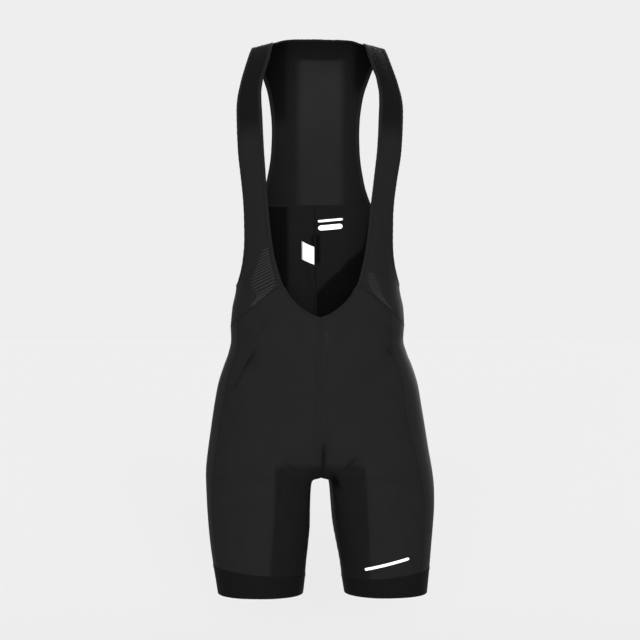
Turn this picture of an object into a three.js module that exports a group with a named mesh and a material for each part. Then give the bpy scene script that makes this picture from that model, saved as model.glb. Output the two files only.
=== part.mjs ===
// Cycling bib shorts in their worn form, with nobody inside. Millimetres, +Z up.
// The front faces -Y and the wearer's left is at +X. The origin lies between the two shoulder
// straps, level with their outer edges, where the shoulders hold the garment up.
//
// Every piece of cloth lies on one form. A spot on the form is { side, angle, level }:
//   side   1 for the wearer's left, -1 for the right
//   angle  degrees round from the side line, negative to the front, positive to the back.
//          +-90 is the centre line of the body, +-180 the inseam of a leg
//   level  a row of FORM, with fractions between two rows
import * as THREE from 'three';

// Cloth and seams
const KNIT = 1.8; // thickness of the stretch knit
const MESH_KNIT = 1.6; // thickness of the light mesh of the bib
const BAND = 2.4; // thickness of the doubled leg band
const LABEL = 1.0; // thickness of the care label
const SEAM_GAP = 0.3; // between two pieces that are sewn together

// The form from the hem to the ridge of the shoulders, a row for each section.
// outer and inner are the distances of a half's outline from the centre line: the outside and
// inside of a leg, and above the crotch how far the half would reach past the centre line.
// pressed is how much of a leg's round section is pressed flat where the legs face each other.
// middle and reach place the section from front to back, square fills out its corners,
// and sway is the stance's lean.
const FORM = [
  { z: -908, outer: 173.4, inner: 38, pressed: 0, middle: 6, reach: 75, square: 0.01, sway: 4.3 },
  { z: -880, outer: 176.8, inner: 34.2, pressed: 3, middle: 5, reach: 80, square: 0.01, sway: 3.6 },
  { z: -850, outer: 180.6, inner: 30.6, pressed: 8, middle: 4, reach: 85, square: 0.01, sway: 2.8 },
  { z: -820, outer: 184, inner: 25.7, pressed: 13, middle: 4, reach: 89, square: 0.01, sway: 2 },
  { z: -790, outer: 186.8, inner: 21.3, pressed: 19, middle: 4, reach: 93, square: 0.01, sway: 1.4 },
  { z: -760, outer: 188.6, inner: 19.2, pressed: 28.6, middle: 4, reach: 97, square: 0.01, sway: 0.9 },
  { z: -733, outer: 189, inner: 17.8, pressed: 40.4, middle: 4, reach: 100, square: 0.01, sway: 0.3 },
  { z: -719, outer: 188.75, inner: 15.8, pressed: 47, middle: 4.2, reach: 101.6, square: 0.01, sway: -0.3 },
  { z: -713, outer: 188.5, inner: 11, pressed: 46.7, middle: 4.4, reach: 102.3, square: 0.01, sway: -0.6 },
  { z: -710.5, outer: 188.4, inner: 0, pressed: 37.8, middle: 4.5, reach: 102.6, square: 0.01, sway: -0.8 },
  { z: -707, outer: 188.1, inner: -12, pressed: 29, middle: 4.7, reach: 103, square: 0.01, sway: -0.9 },
  { z: -698, outer: 187.3, inner: -34, pressed: 16.7, middle: 5.1, reach: 104.2, square: 0.013, sway: -1.3 },
  { z: -685, outer: 185.7, inner: -66, pressed: 3.3, middle: 5.9, reach: 106.2, square: 0.016, sway: -1.8 },
  { z: -664, outer: 182.6, inner: -104, pressed: 0, middle: 7.3, reach: 110, square: 0.02, sway: -2.3 },
  { z: -634, outer: 178.1, inner: -145, pressed: 0, middle: 8.6, reach: 113.5, square: 0.025, sway: -2.8 },
  { z: -595, outer: 171.8, inner: -171.8, pressed: 0, middle: 9, reach: 116, square: 0.03, sway: -3.3 },
  { z: -560, outer: 165.2, inner: -165.2, pressed: 0, middle: 6, reach: 115, square: 0.035, sway: -3.2 },
  { z: -530, outer: 156.1, inner: -156.1, pressed: 0, middle: 2, reach: 112, square: 0.035, sway: -3.3 },
  { z: -507, outer: 147.7, inner: -147.7, pressed: 0, middle: -2, reach: 108.5, square: 0.035, sway: -4 },
  { z: -485, outer: 142.8, inner: -142.8, pressed: 0, middle: -4, reach: 105, square: 0.035, sway: -4.8 },
  { z: -463, outer: 143.3, inner: -143.3, pressed: 0, middle: -6, reach: 102, square: 0.035, sway: -4.5 },
  { z: -435, outer: 141, inner: -141, pressed: 0, middle: -8, reach: 98, square: 0.035, sway: -4.1 },
  { z: -395, outer: 134.2, inner: -134.2, pressed: 0, middle: -9, reach: 94, square: 0.035, sway: -4.2 },
  { z: -345, outer: 136, inner: -136, pressed: 0, middle: -8, reach: 96, square: 0.035, sway: -5.2 },
  { z: -290, outer: 142, inner: -142, pressed: 0, middle: -5, reach: 102, square: 0.035, sway: -5.2 },
  { z: -230, outer: 150, inner: -150, pressed: 0, middle: -2, reach: 108, square: 0.035, sway: -4.4 },
  { z: -170, outer: 157, inner: -157, pressed: 0, middle: 0, reach: 112, square: 0.035, sway: -3.4 },
  { z: -110, outer: 157, inner: -157, pressed: 0, middle: 3, reach: 107, square: 0.035, sway: -3 },
  { z: -66, outer: 148, inner: -148, pressed: 0, middle: 7, reach: 92, square: 0.035, sway: -3.1 },
  { z: -34, outer: 137, inner: -137, pressed: 0, middle: 10, reach: 73, square: 0.03, sway: -3.2 },
  { z: -14, outer: 128, inner: -128, pressed: 0, middle: 12, reach: 50, square: 0.02, sway: -3 },
  { z: -3.5, outer: 122, inner: -122, pressed: 0, middle: 13.5, reach: 26, square: 0.01, sway: -2.6 },
  { z: 0, outer: 120, inner: -120, pressed: 0, middle: 14, reach: 0, square: 0.01, sway: -2.4 },
];
const CROTCH = FORM.findIndex((row) => row.inner === 0);
const RIDGE = FORM.length - 1;

// The legs stand slightly turned: how much further the right one reaches in
const RIGHT_LEG_IN = [
  { z: -908, reach: 4.4 },
  { z: -850, reach: 3.6 },
  { z: -800, reach: 2 },
  { z: -750, reach: 0.4 },
  { z: -712, reach: 0 },
];

// How far the shoulders rise towards the neck, by the distance from the centre line, and the
// share of that rise at a height
const SHOULDER_RISE = [
  { half: 0, rise: 28 },
  { half: 30, rise: 26 },
  { half: 58, rise: 18.5 },
  { half: 76, rise: 9 },
  { half: 92, rise: 5.2 },
  { half: 110, rise: 0 },
  { half: 160, rise: -11 },
];
const RISE_SHARE = [
  { z: -170, share: 0 },
  { z: -110, share: 0.24 },
  { z: -66, share: 0.56 },
  { z: -34, share: 0.8 },
  { z: -14, share: 0.93 },
  { z: -3.5, share: 0.99 },
  { z: 0, share: 1 },
];

// The largest folds: soft troughs in the front (face -1) or the back (face 1) of the cloth,
// from one point to another, in x and z
const FOLDS = [
  { face: -1, from: [-98, -492], to: [-140, -552], width: 13, depth: 4 },
  { face: -1, from: [98, -496], to: [120, -528], width: 12, depth: 2.5 },
  { face: -1, from: [26, -708], to: [78, -668], width: 12, depth: 3.5 },
  { face: -1, from: [-24, -706], to: [-66, -676], width: 12, depth: 2.5 },
  { face: 1, from: [22, -704], to: [92, -682], width: 15, depth: 4 },
  { face: 1, from: [-22, -704], to: [-86, -686], width: 15, depth: 3.5 },
  { face: 1, from: [-92, -478], to: [-22, -494], width: 14, depth: 3 },
  { face: 1, from: [100, -488], to: [40, -504], width: 14, depth: 2.5 },
];

// Edges of the cloth. z is the height of the form's section, half the distance from the centre
// line, and angle takes its place where an edge runs round the side of the body.
const NECKLINE = [
  { z: -449.4, half: 0 },
  { z: -445.5, half: 12 },
  { z: -437, half: 26 },
  { z: -421, half: 44 },
  { z: -400, half: 59 },
  { z: -373, half: 68 },
  { z: -341, half: 75 },
  { z: -309, half: 79.4 },
  { z: -270, half: 83.2 },
  { z: -231, half: 87.3 },
  { z: -193, half: 90.7 },
  { z: -154, half: 93.6 },
  { z: -115, half: 95.4 },
  { z: -93, half: 96 },
  { z: -72, half: 94.7 },
  { z: -60, half: 92 },
  { z: -45, half: 86.6 },
  { z: -28, half: 81.5 },
  { z: -6, half: 77 },
  { z: 0, half: 76 },
];
const NECK_CORNER = NECKLINE[4]; // where the bib is sewn to the front of the shorts
const STRAP_OUTER = [
  { z: -352, angle: -29 },
  { z: -325, half: 120.5 },
  { z: -295, half: 120.7 },
  { z: -256, half: 122.7 },
  { z: -217, half: 127.7 },
  { z: -177, half: 132.6 },
  { z: -137, half: 134.6 },
  { z: -97, half: 134.5 },
  { z: -75.5, half: 131.5 },
  { z: -54.5, half: 126.8 },
  { z: -34, half: 121 },
  { z: -21, half: 117 },
  { z: -5, half: 112 },
  { z: 0, half: 110.5 },
];
const BACK_OUTER = [
  { z: -257.5, half: 95.9 },
  { z: -247, half: 92 },
  { z: -226, half: 85.2 },
  { z: -205, half: 81 },
  { z: -184, half: 77.6 },
  { z: -163, half: 75.6 },
  { z: -134, half: 74.6 },
  { z: -114, half: 75.2 },
  { z: -84, half: 78.9 },
  { z: -64, half: 83.5 },
  { z: -54, half: 87 },
  { z: -34, half: 94 },
  { z: -18, half: 101 },
  { z: -5, half: 108 },
  { z: 0, half: 110.5 },
];
const BACK_NECK = [
  { half: 0, z: -6.5 },
  { half: 25, z: -5.8 },
  { half: 50, z: -3.6 },
  { half: 66, z: -1.6 },
  { half: 76, z: 0 },
];

// Seams that run round the body, by angle
const BIB_SEAM = [
  { angle: -63, z: -400 },
  { angle: -50, z: -423 },
  { angle: -36, z: -443 },
  { angle: -18, z: -458 },
  { angle: 0, z: -464 },
  { angle: 14, z: -466 },
];
const SIDE_SEAM = 14; // behind the side line: back edge of the side panel and of the bib front
const BACK_SEAM_Z = -257.5; // the mesh back is sewn to the top of the seat
const HEM_Z = FORM[0].z;
const BAND_RISE = 14; // the leg band is this much taller outside than inside the leg

// What differs between the two halves: the shorts sit slightly turned on the form
const HALVES = [
  { name: 'left', side: 1, sideFront: -40, bandTop: -881 },
  { name: 'right', side: -1, sideFront: -27, bandTop: -876 },
];

// Heights of the rows of cloth points, closest where the legs part
const PANEL_ROWS = [-845, -820, -795, -770, -748, -732, -720, -714.5, -711.8, FORM[CROTCH].z, -709,
  -705.5, -699, -690, -680, -668, -650, -628, -604, -580, -556, -532, -508];
const TOP_FRACTIONS = [0.28, 0.54, 0.78, 1]; // from the last hip row to a panel's top edge
const STRAP_ROWS = [-325, -300, -275, -250, -225, -200, -175, -150, -125, -100, -80, -62, -46,
  -31, -18, -8, -2.5, 0];
const BACK_ROWS = [-257.5, -238, -215, -190, -163, -134, -108, -84, -64];
const BACK_TOP_FRACTIONS = [0.3, 0.55, 0.76, 0.91, 1];

// Rows across the lower bib front, where its two edges lie at different heights
const BIB_FRONT_ROWS = [
  { armZ: -466, armAngle: 14, neckZ: -400 },
  { armZ: -443, armAngle: 14, neckZ: -394 },
  { armZ: -419, armAngle: 14, neckZ: -388 },
  { armZ: -398, armAngle: 14, neckZ: -382 },
  { armZ: -397.5, armAngle: 6, neckZ: -379 },
  { armZ: -396, armAngle: -3, neckZ: -376 },
  { armZ: -391, armAngle: -12.5, neckZ: -371 },
  { armZ: -380, armAngle: -19.5, neckZ: -364 },
  { armZ: -366, armAngle: -25.5, neckZ: -356 },
  { armZ: -352, armAngle: -29, neckZ: -347 },
];
const SEAM_FADE_ROWS = 6; // rows over which the bend of the bib seam dies out
// Rows across the top of the seat, from the armhole to the centre back
const SEAT_TOP_ROWS = [
  { armZ: -487, armAngle: 14, backZ: -480 },
  { armZ: -466, armAngle: 14, backZ: -452 },
  { armZ: -443, armAngle: 14, backZ: -424 },
  { armZ: -419, armAngle: 14, backZ: -398 },
  { armZ: -398, armAngle: 14, backZ: -374 },
  { armZ: -394, armAngle: 22, backZ: -360 },
  { armZ: -384, armAngle: 29, backZ: -346 },
  { armZ: -366, armAngle: 35, backZ: -331 },
  { armZ: -340, armAngle: 39.5, backZ: -313 },
  { armZ: -312, armAngle: 43.5, backZ: -294 },
  { armZ: -285, armAngle: 47, backZ: -276 },
];

// Numbers of strips of cloth points across each panel
const STRIPS = { frontNeck: 6, frontSeam: 6, side: 3, seat: 12, shoulder: 3, backNeck: 10 };

// Care label inside the centre back seam, from its sewn edge to its free edge
const LABEL_WIDTH = 22;
const LABEL_HEIGHT = 31;
const LABEL_TOP_Z = -328;
const LABEL_TILT = 8; // its free edge lies this much higher
const LABEL_LIFT = 7; // its free edge stands off the cloth
const LABEL_STRIPS = 4;

// Smooth curve through values that never swings past them; beyond is a value after the last one
function track(values, beyond) {
  const known = beyond === undefined ? values : [...values, beyond];
  const slope = known.map((value, i) => {
    if (i === 0) return known[1] - value;
    if (i === known.length - 1) return value - known[i - 1];
    const before = value - known[i - 1];
    const after = known[i + 1] - value;
    return before * after > 0 ? (2 * before * after) / (before + after) : 0;
  });
  return (position) => {
    const at = Math.min(Math.max(position, 0), values.length - 1);
    const i = Math.min(Math.floor(at), values.length - 2);
    const u = at - i;
    const rise = values[i + 1] - values[i];
    return values[i] + u * slope[i]
      + u * u * (3 * rise - 2 * slope[i] - slope[i + 1])
      + u * u * u * (slope[i] + slope[i + 1] - 2 * rise);
  };
}

// Where a function that only rises, or only falls, takes a value between two ends
function solve(value, low, high, f) {
  const rising = f(high) > f(low);
  let [a, b] = [low, high];
  for (let step = 0; step < 50; step += 1) {
    const half = (a + b) / 2;
    if ((f(half) < value) === rising) a = half;
    else b = half;
  }
  return (a + b) / 2;
}

// Value of one column of a table at a value of another column
function lookUp(table, key, column) {
  const keys = track(table.map((row) => row[key]));
  const values = track(table.map((row) => row[column]));
  const last = table.length - 1;
  return (at) => values(solve(at, 0, last, keys));
}

const column = (name) => track(FORM.map((row) => row[name]), FORM[RIDGE - 1][name]);
const form = {
  z: column('z'),
  outer: column('outer'),
  inner: column('inner'),
  pressed: column('pressed'),
  middle: column('middle'),
  square: column('square'),
  sway: column('sway'),
  reach: track(FORM.map((row) => row.reach), -FORM[RIDGE - 1].reach),
};
const rightLegIn = lookUp(RIGHT_LEG_IN, 'z', 'reach');
const shoulderRise = lookUp(SHOULDER_RISE, 'half', 'rise');
const riseShare = lookUp(RISE_SHARE, 'z', 'share');
const levelOf = (z) => solve(z, 0, RIDGE, form.z);

// Shape of a section: 1 at the side line and -1 at the inseam, and the same from front to back
const radians = (degrees) => (degrees * Math.PI) / 180;
const across = (angle, square) =>
  (Math.cos(radians(angle)) - square * Math.cos(radians(3 * angle))) / (1 - square);
const along = (angle, square) =>
  (Math.sin(radians(angle)) + square * Math.sin(radians(3 * angle))) / (1 - square);

// Distance from the centre line at an angle, and the angle at a distance. The section is as
// round as if it went in by pressed more, and ends softly at the inner outline.
const PRESS_SOFTNESS = 0.7;
const MOST_SOFTNESS = 16;
function halfAt(angle, level) {
  const [outer, inner, pressed] = [form.outer(level), form.inner(level), form.pressed(level)];
  const width = outer - inner;
  const round = (width + pressed) / 2;
  const free = outer - round + round * across(angle, form.square(level)) - inner;
  const softness = Math.min(PRESS_SOFTNESS * pressed, MOST_SOFTNESS);
  const soft = (distance) => (distance + Math.hypot(distance, softness)) / 2;
  const least = soft(-pressed);
  return inner + (width * (soft(free) - least)) / (soft(width) - least);
}
function angleAt(half, level) {
  return solve(half, 0, 180, (angle) => halfAt(angle, level));
}

// Angle of the line where a half ends: the body's centre line, or a leg's inseam
function closingAngle(level) {
  return level < CROTCH + LEVEL_STEP / 2 ? 180 : angleAt(0, level);
}

function pointOnForm({ side, angle, level }) {
  const half = Math.max(halfAt(angle, level), SEAM_GAP / 2);
  const height = form.z(level);
  const turned = side < 0 ? (rightLegIn(height) * (1 - Math.cos(radians(angle)))) / 2 : 0;
  const y = form.middle(level) + form.reach(level) * along(angle, form.square(level));
  const z = height + riseShare(height) * shoulderRise(half);
  return new THREE.Vector3(form.sway(level) + side * (half - turned), y, z);
}

// Steps along the form for its directions, in degrees and in rows
const ANGLE_STEP = 0.4;
const LEVEL_STEP = 0.02;
function towardsBack(spot) {
  const ahead = pointOnForm({ ...spot, angle: spot.angle + ANGLE_STEP });
  const behind = pointOnForm({ ...spot, angle: spot.angle - ANGLE_STEP });
  return ahead.sub(behind).divideScalar(2 * ANGLE_STEP);
}
function upwards(spot) {
  const above = Math.min(spot.level + LEVEL_STEP, RIDGE);
  const below = Math.max(spot.level - LEVEL_STEP, 0);
  return pointOnForm({ ...spot, level: above })
    .sub(pointOnForm({ ...spot, level: below }))
    .divideScalar(above - below);
}
// Angle about which a panel's columns spread. Between these two heights it eases from where the
// centre line leaves the front, so that the columns don't bunch where the legs part.
const SPREAD_TOP = -699;
const SPREAD_END = -860;
function spreadAngle(level) {
  const z = form.z(level);
  if (z > SPREAD_TOP) return closingAngle(level);
  const share = Math.min((SPREAD_TOP - z) / (SPREAD_TOP - SPREAD_END), 1);
  return mix(closingAngle(levelOf(SPREAD_TOP)), 180, share);
}

// Straight out from the cloth, and on the centre line not towards the other half
function outwards(spot) {
  const out = towardsBack(spot).cross(upwards(spot)).multiplyScalar(spot.side);
  if (spot.level > CROTCH - LEVEL_STEP && halfAt(spot.angle, spot.level) < 2 * SEAM_GAP) out.x = 0;
  return out.normalize();
}

// A spot moved some millimetres towards the back, or up
const movedBack = (spot, mm) => ({ ...spot, angle: spot.angle + mm / towardsBack(spot).length() });
const movedUp = (spot, mm) => ({ ...spot, level: spot.level + mm / upwards(spot).length() });

// Depth of the folds at a point: deepest halfway along each and fading out to its sides and ends
function foldDepth(point, level) {
  const face = Math.sign(point.y - form.middle(level));
  return FOLDS.filter((fold) => fold.face === face).reduce((sum, fold) => {
    const from = new THREE.Vector2(...fold.from);
    const run = new THREE.Vector2(...fold.to).sub(from);
    const offset = new THREE.Vector2(point.x, point.z).sub(from);
    const share = offset.dot(run) / run.lengthSq();
    if (share < 0 || share > 1) return sum;
    const aside = Math.abs(offset.cross(run)) / run.length();
    return sum + fold.depth * Math.sin(Math.PI * share) ** 2 * Math.exp(-((aside / fold.width) ** 2));
  }, 0);
}

// A wall of cloth about rows of spots, each of which may be lifted off the form
function wall(rows, thickness, isRing = false) {
  const [high, wide] = [rows.length, rows[0].length];
  const positions = [];
  for (const face of [0.5, -0.5]) {
    for (const spot of rows.flat()) {
      const point = pointOnForm(spot);
      const lift = (spot.lift ?? 0) - foldDepth(point, spot.level) + face * thickness;
      positions.push(...point.addScaledVector(outwards(spot), lift).toArray());
    }
  }
  const triangles = [];
  const quad = (a, b, c, d) => triangles.push(a, b, c, a, c, d);
  const at = (r, c) => r * wide + (c % wide);
  const inside = high * wide;
  const strips = isRing ? wide : wide - 1;
  for (let r = 0; r < high - 1; r += 1) {
    for (let c = 0; c < strips; c += 1) {
      const [a, b, d, e] = [at(r, c), at(r, c + 1), at(r + 1, c + 1), at(r + 1, c)];
      quad(a, b, d, e);
      quad(inside + e, inside + d, inside + b, inside + a);
    }
    if (!isRing) {
      quad(at(r, 0), at(r + 1, 0), inside + at(r + 1, 0), inside + at(r, 0));
      const [a, b] = [at(r, wide - 1), at(r + 1, wide - 1)];
      quad(b, a, inside + a, inside + b);
    }
  }
  for (let c = 0; c < strips; c += 1) {
    quad(at(0, c + 1), at(0, c), inside + at(0, c), inside + at(0, c + 1));
    const [a, b] = [at(high - 1, c), at(high - 1, c + 1)];
    quad(a, b, inside + b, inside + a);
  }
  const geometry = new THREE.BufferGeometry();
  geometry.setAttribute('position', new THREE.Float32BufferAttribute(positions, 3));
  geometry.setIndex(volumeOf(positions, triangles) > 0 ? triangles : triangles.reverse());
  geometry.computeVertexNormals();
  return geometry;
}

// Six times the volume inside the triangles, negative when they face inwards
function volumeOf(positions, triangles) {
  const [a, b, c] = [new THREE.Vector3(), new THREE.Vector3(), new THREE.Vector3()];
  let volume = 0;
  for (let i = 0; i < triangles.length; i += 3) {
    a.fromArray(positions, 3 * triangles[i]);
    b.fromArray(positions, 3 * triangles[i + 1]);
    c.fromArray(positions, 3 * triangles[i + 2]);
    volume += a.dot(b.cross(c));
  }
  return volume;
}

// Equal steps from one number to another, both ends included
const steps = (from, to, count) =>
  Array.from({ length: count + 1 }, (_, i) => from + ((to - from) * i) / count);
const mix = (from, to, share) => from + (to - from) * share;

// Edges as functions of the section's height
const edgeAngle = (table) => lookUp(
  table.map((row) => ({ z: row.z, angle: row.angle ?? -angleAt(row.half, levelOf(row.z)) })),
  'z', 'angle');
const neckAngle = edgeAngle(NECKLINE);
const strapAngle = edgeAngle(STRAP_OUTER);
const neckZ = lookUp(NECKLINE.slice(0, 5), 'half', 'z');
const bibSeamZ = lookUp(BIB_SEAM, 'angle', 'z');
const backHalf = lookUp(BACK_OUTER, 'z', 'half');
const backNeckZ = lookUp(BACK_NECK, 'half', 'z');
const cornerAngle = neckAngle(NECK_CORNER.z);

// Top of a leg band, taller on the outside of the leg
const bandTopZ = (half, angle) =>
  half.bandTop + BAND_RISE * ((1 + Math.cos(radians(angle))) / 2) ** 1.5;

// The rows of a panel between its leg band and its top edge. edges gives the first and last
// angle of a row at a level, shares the places of its columns between them, and topZ the height
// of its top edge above each column.
function panelRows(half, { edges, shares, topZ }) {
  const { side } = half;
  const spotsAt = (levelFor) => shares.map((share, i) => {
    const level = levelFor(i, share);
    const [first, last] = edges(level);
    return { side, angle: mix(first, last, share), level };
  });
  const [legFirst, legLast] = edges(levelOf(half.bandTop));
  const bottom = spotsAt((i, share) => levelOf(bandTopZ(half, mix(legFirst, legLast, share))));
  const rows = [bottom.map((spot) => movedUp(spot, SEAM_GAP / 2))];
  for (const z of PANEL_ROWS) rows.push(spotsAt(() => levelOf(z)));
  const lastZ = PANEL_ROWS.at(-1);
  for (const fraction of TOP_FRACTIONS) {
    if (topZ) rows.push(spotsAt((i) => levelOf(mix(lastZ, topZ(i), fraction))));
  }
  return rows;
}

// Keeps a row's first and last spots half a seam gap inside its edges
function trimEnds(row, first = true, last = true) {
  const trimmed = [...row];
  if (first) trimmed[0] = movedBack(row[0], SEAM_GAP / 2);
  if (last) trimmed[row.length - 1] = movedBack(row.at(-1), -SEAM_GAP / 2);
  return trimmed;
}
// Puts the spot that a row has at the centre line or the inseam on that line
const closeAt = (row, i) => row.map((spot, c) =>
  (c === i ? { ...spot, angle: Math.sign(spot.angle) * closingAngle(spot.level) } : spot));
const trimTop = (rows, mm = SEAM_GAP / 2) =>
  [...rows.slice(0, -1), rows.at(-1).map((spot) => movedUp(spot, -mm))];
const trimBottom = (rows, mm = SEAM_GAP / 2) =>
  [rows[0].map((spot) => movedUp(spot, mm)), ...rows.slice(1)];
const SLANT_GAP = 0.22; // half the gap across a seam that runs down at a slant, measured upright

// Angles of the columns along the front's top edge: the neckline, then the bib seam
function frontAngles(half) {
  const necklineLevel = (x) => levelOf(neckZ(x));
  const neck = steps(0, NECK_CORNER.half, STRIPS.frontNeck)
    .map((x) => -angleAt(x, necklineLevel(x)));
  const seam = steps(cornerAngle, half.sideFront, STRIPS.frontSeam).slice(1);
  return { neck, seam };
}

function frontPanel(half) {
  const { neck, seam } = frontAngles(half);
  const angles = [...neck, ...seam];
  const shares = angles.map((angle) => (angle + 90) / (half.sideFront + 90));
  const neckHalves = steps(0, NECK_CORNER.half, STRIPS.frontNeck);
  const topZ = (i) => (i < neckHalves.length ? neckZ(neckHalves[i]) : bibSeamZ(angles[i]));
  const edges = (level) => [-spreadAngle(level), half.sideFront];
  const rows = panelRows(half, { edges, shares, topZ }).map((row) => closeAt(row, 0));
  return trimTop(rows, SLANT_GAP).map((row) => trimEnds(row));
}

function sidePanel(half) {
  const angles = steps(half.sideFront, SIDE_SEAM, STRIPS.side);
  const shares = steps(0, 1, STRIPS.side);
  const edges = () => [half.sideFront, SIDE_SEAM];
  const topZ = (i) => bibSeamZ(angles[i]);
  const rows = panelRows(half, { edges, shares, topZ });
  return trimTop(rows, SLANT_GAP).map((row) => trimEnds(row));
}

function seatPanel(half) {
  const shares = steps(0, 1, STRIPS.seat);
  const edges = (level) => [SIDE_SEAM, spreadAngle(level)];
  const rows = panelRows(half, { edges, shares }).map((row) => closeAt(row, STRIPS.seat));
  const top = { armZ: BACK_SEAM_Z, armAngle: angleAt(backHalf(BACK_SEAM_Z), levelOf(BACK_SEAM_Z)),
    backZ: BACK_SEAM_Z };
  for (const { armZ, armAngle, backZ } of [...SEAT_TOP_ROWS, top]) {
    rows.push(shares.map((share) => ({
      side: half.side,
      angle: mix(armAngle, 90, share),
      level: levelOf(mix(armZ, backZ, share)),
    })));
  }
  return trimTop(rows).map((row) => trimEnds(row));
}

// The bib front, from the bib seam and the side seam to the ridge of the shoulder
function bibFront(half) {
  const side = half.side;
  const seamAngles = [
    ...steps(cornerAngle, half.sideFront, STRIPS.frontSeam),
    ...steps(half.sideFront, SIDE_SEAM, STRIPS.side).slice(1),
  ];
  const shares = seamAngles.map((angle) => (angle - cornerAngle) / (SIDE_SEAM - cornerAngle));
  const lowest = BIB_FRONT_ROWS[0];
  const bends = seamAngles.map((angle, i) =>
    bibSeamZ(angle) - mix(lowest.neckZ, lowest.armZ, shares[i]));
  const rows = BIB_FRONT_ROWS.map(({ armZ, armAngle, neckZ: z }, r) => {
    const fade = Math.max(0, 1 - r / SEAM_FADE_ROWS) ** 2;
    return shares.map((share, i) => ({
      side,
      angle: mix(neckAngle(z), armAngle, share),
      level: levelOf(mix(z, armZ, share) + fade * bends[i]),
    }));
  });
  for (const z of STRAP_ROWS) {
    rows.push(shares.map((share) => ({
      side,
      angle: mix(neckAngle(z), strapAngle(z), share),
      level: levelOf(z),
    })));
  }
  const sideRows = 4; // the rows that end at the side seam
  return trimTop(trimBottom(rows, SLANT_GAP))
    .map((row, r) => trimEnds(row, false, r < sideRows));
}

// The mesh back, in one piece across both halves, up to the neck and the shoulder ridges
function bibBack() {
  const corner = BACK_NECK.at(-1).half / BACK_OUTER.at(-1).half;
  const places = [
    ...steps(-1, -corner, STRIPS.shoulder),
    ...steps(-corner, corner, STRIPS.backNeck).slice(1, -1),
    ...steps(corner, 1, STRIPS.shoulder),
  ];
  const topHalf = BACK_OUTER.at(-1).half;
  const topZ = places.map((place) =>
    (Math.abs(place) >= corner ? 0 : backNeckZ(Math.abs(place) * topHalf)));
  const spotAt = (place, z) => {
    const level = levelOf(z);
    return { side: place < 0 ? -1 : 1, angle: angleAt(Math.abs(place) * backHalf(z), level), level };
  };
  const rows = BACK_ROWS.map((z) => places.map((place) => spotAt(place, z)));
  const lastZ = BACK_ROWS.at(-1);
  for (const fraction of BACK_TOP_FRACTIONS) {
    rows.push(places.map((place, i) => {
      const top = levelOf(topZ[i]);
      const level = mix(levelOf(lastZ), top, fraction);
      const half = Math.abs(place) * backHalf(form.z(level));
      return { side: place < 0 ? -1 : 1, angle: angleAt(half, level), level };
    }));
  }
  return trimTop(trimBottom(rows));
}

// The leg band, a ring of the same columns as the panels above it
function legBand(half) {
  const legLevel = levelOf(half.bandTop);
  const { neck, seam } = frontAngles(half);
  const toLeg = (angle) => mix(-spreadAngle(legLevel), half.sideFront,
    (angle + 90) / (half.sideFront + 90));
  const angles = [
    ...[...neck, ...seam].map(toLeg),
    ...steps(half.sideFront, SIDE_SEAM, STRIPS.side).slice(1),
    ...steps(SIDE_SEAM, closingAngle(legLevel), STRIPS.seat).slice(1, -1),
  ];
  return [0, 0.33, 0.66, 1].map((share) => angles.map((angle) => {
    const top = movedUp(
      { side: half.side, angle, level: levelOf(bandTopZ(half, angle)) }, -SEAM_GAP / 2);
    return { ...top, level: mix(levelOf(HEM_Z), top.level, share) };
  }));
}

// The care label, sewn at the centre back on the right half, with its free edge off the cloth
function careLabel() {
  const seated = (KNIT + LABEL) / 2 + SEAM_GAP;
  return [LABEL_TOP_Z - LABEL_HEIGHT, LABEL_TOP_Z - LABEL_HEIGHT / 2, LABEL_TOP_Z].map((z) =>
    steps(0, 1, LABEL_STRIPS).map((share) => {
      const level = levelOf(z + LABEL_TILT * share);
      const angle = angleAt(1 + LABEL_WIDTH * share, level);
      return { side: -1, angle, level, lift: -(seated + LABEL_LIFT * share ** 2) };
    }));
}

// Colours of the cloth
const KNIT_COLOUR = 0x242426;
const SIDE_COLOUR = 0x2b2b2e;
const MESH_COLOUR = 0x222224;
const BAND_COLOUR = 0x19191a;
const LABEL_COLOUR = 0xf4f4f2;
const ROUGHNESS = 0.85;

const garment = new THREE.Group();
function addPiece(name, geometry, color) {
  const material = new THREE.MeshStandardMaterial({ color, roughness: ROUGHNESS, metalness: 0 });
  const piece = new THREE.Mesh(geometry, material);
  piece.name = name;
  garment.add(piece);
}

for (const half of HALVES) {
  addPiece(`front_${half.name}`, wall(frontPanel(half), KNIT), KNIT_COLOUR);
  addPiece(`side_${half.name}`, wall(sidePanel(half), KNIT), SIDE_COLOUR);
  addPiece(`seat_${half.name}`, wall(seatPanel(half), KNIT), KNIT_COLOUR);
  addPiece(`leg_band_${half.name}`, wall(legBand(half), BAND, true), BAND_COLOUR);
  addPiece(`bib_front_${half.name}`, wall(bibFront(half), MESH_KNIT), MESH_COLOUR);
}
addPiece('bib_back', wall(bibBack(), MESH_KNIT), MESH_COLOUR);
addPiece('care_label', wall(careLabel(), LABEL), LABEL_COLOUR);

export default garment;
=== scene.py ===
import math

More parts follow.
